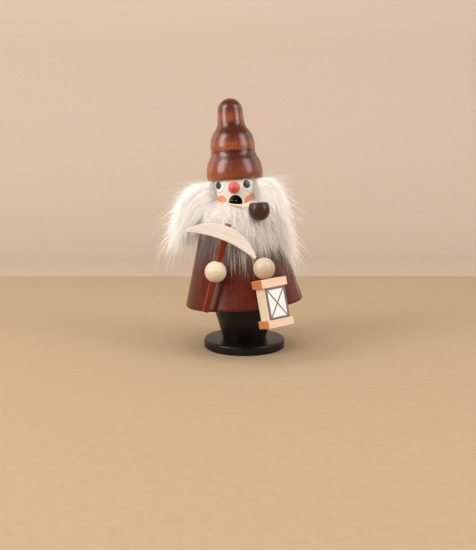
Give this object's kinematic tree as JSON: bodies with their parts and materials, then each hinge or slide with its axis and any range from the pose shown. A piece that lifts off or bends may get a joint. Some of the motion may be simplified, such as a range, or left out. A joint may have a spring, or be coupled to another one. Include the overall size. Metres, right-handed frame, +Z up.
{
  "type": "incense smoker",
  "caption": "Turned wooden gnome smoker with fur beard, pick, lantern and pipe; the hollow figure lifts off its stand over an incense dish, and smoke leaves through the mouth",
  "frame": {"origin": "centre of the foot's underside, on the surface it stands on", "axes": "+Z up, the gnome faces -Y, +X is the gnome's left"},
  "size_m": [0.083, 0.0814, 0.1457],
  "materials": {
    "black_wood": "black stained turned wood, satin",
    "coat_wood": "dark red-brown stained turned wood, semi-gloss lacquer",
    "hat_wood": "red-brown stained turned wood with lighter rings, gloss lacquer",
    "head_wood": "natural pale wood with painted eyes and cheeks",
    "hand_wood": "natural pale wood, satin",
    "nose_wood": "red painted wood, satin",
    "handle_wood": "red-brown stained stick",
    "blade_wood": "pale fine-grained wood, raw",
    "lantern_wood": "pale wood, raw, plate ends stained orange-red",
    "window_veneer": "thin pale panel with printed dark lines",
    "bowl_wood": "dark plum-brown turned wood, satin",
    "stem_wood": "thin pale stick",
    "peg_wood": "beech dowel, raw",
    "fur": "long cream fur, grey at its roots",
    "hide": "thin tanned skin of the fur strip",
    "dish_metal": "thin pressed sheet"
  },
  "bodies": {
    "stand": {"base_disc": "black_wood", "legs": "black_wood", "incense_plate": "dish_metal", "plate_tack": "dish_metal"},
    "figure": {"coat": "coat_wood", "head": "head_wood", "nose": "nose_wood", "hat": "hat_wood", "hand_right": "hand_wood", "hand_left": "hand_wood", "hand_peg_right": "peg_wood", "hand_peg_left": "peg_wood", "pick_handle": "handle_wood", "pick_blade": "blade_wood", "lantern_top": "lantern_wood", "lantern_body": "lantern_wood", "lantern_bottom": "lantern_wood", "lantern_window": "window_veneer", "lantern_peg": "peg_wood", "pipe_bowl": "bowl_wood", "pipe_stem": "stem_wood", "fur_hide": "hide", "fur_beard": "fur", "fur_back": "fur", "fur_side_right": "fur", "fur_side_left": "fur"}
  },
  "joints": [
    {"name": "lift_off", "type": "slide", "parent": "stand", "child": "figure", "axis": [-0.075, 0.0435, 0.9962], "range_m": [0, 0.045]}
  ]
}
